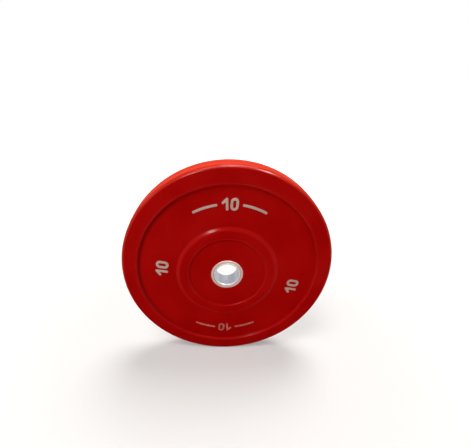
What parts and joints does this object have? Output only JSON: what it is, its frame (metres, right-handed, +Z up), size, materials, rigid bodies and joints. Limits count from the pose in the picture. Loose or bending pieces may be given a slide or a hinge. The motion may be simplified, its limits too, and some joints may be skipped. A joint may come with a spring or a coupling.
{
  "type": "bumper plate",
  "caption": "Rubber bumper plate for a barbell: thick moulded ring with a raised rim, a recessed web with pale inlaid numerals, and a steel-lined centre bore.",
  "frame": {"origin": "centre of the bore, halfway between the two rim faces", "axes": "+Z up, with the plate standing on its tread; +Y along the bore, out of the back face; the front face, the one pictured, looks along -Y; +X to the right of someone facing the front face"},
  "size_m": [0.45, 0.045, 0.45],
  "materials": {
    "red_rubber": "satin",
    "pale_rubber": "satin",
    "hub_steel": "satin",
    "anchor_steel": "matte"
  },
  "bodies": {
    "root": {"rubber_body": "red_rubber", "hub_sleeve": "hub_steel", "front_hub_ring": "hub_steel", "back_hub_ring": "hub_steel", "anchor_disc": "anchor_steel", "front_left_one": "pale_rubber", "front_left_zero": "pale_rubber", "front_right_one": "pale_rubber", "front_right_zero": "pale_rubber", "front_top_start_bar": "pale_rubber", "front_top_one": "pale_rubber", "front_top_zero": "pale_rubber", "front_top_end_bar": "pale_rubber", "front_bottom_start_bar": "pale_rubber", "front_bottom_one": "pale_rubber", "front_bottom_zero": "pale_rubber", "front_bottom_end_bar": "pale_rubber", "back_left_one": "pale_rubber", "back_left_zero": "pale_rubber", "back_right_one": "pale_rubber", "back_right_zero": "pale_rubber", "back_top_start_bar": "pale_rubber", "back_top_one": "pale_rubber", "back_top_zero": "pale_rubber", "back_top_end_bar": "pale_rubber", "back_bottom_start_bar": "pale_rubber", "back_bottom_one": "pale_rubber", "back_bottom_zero": "pale_rubber", "back_bottom_end_bar": "pale_rubber"}
  },
  "joints": []
}
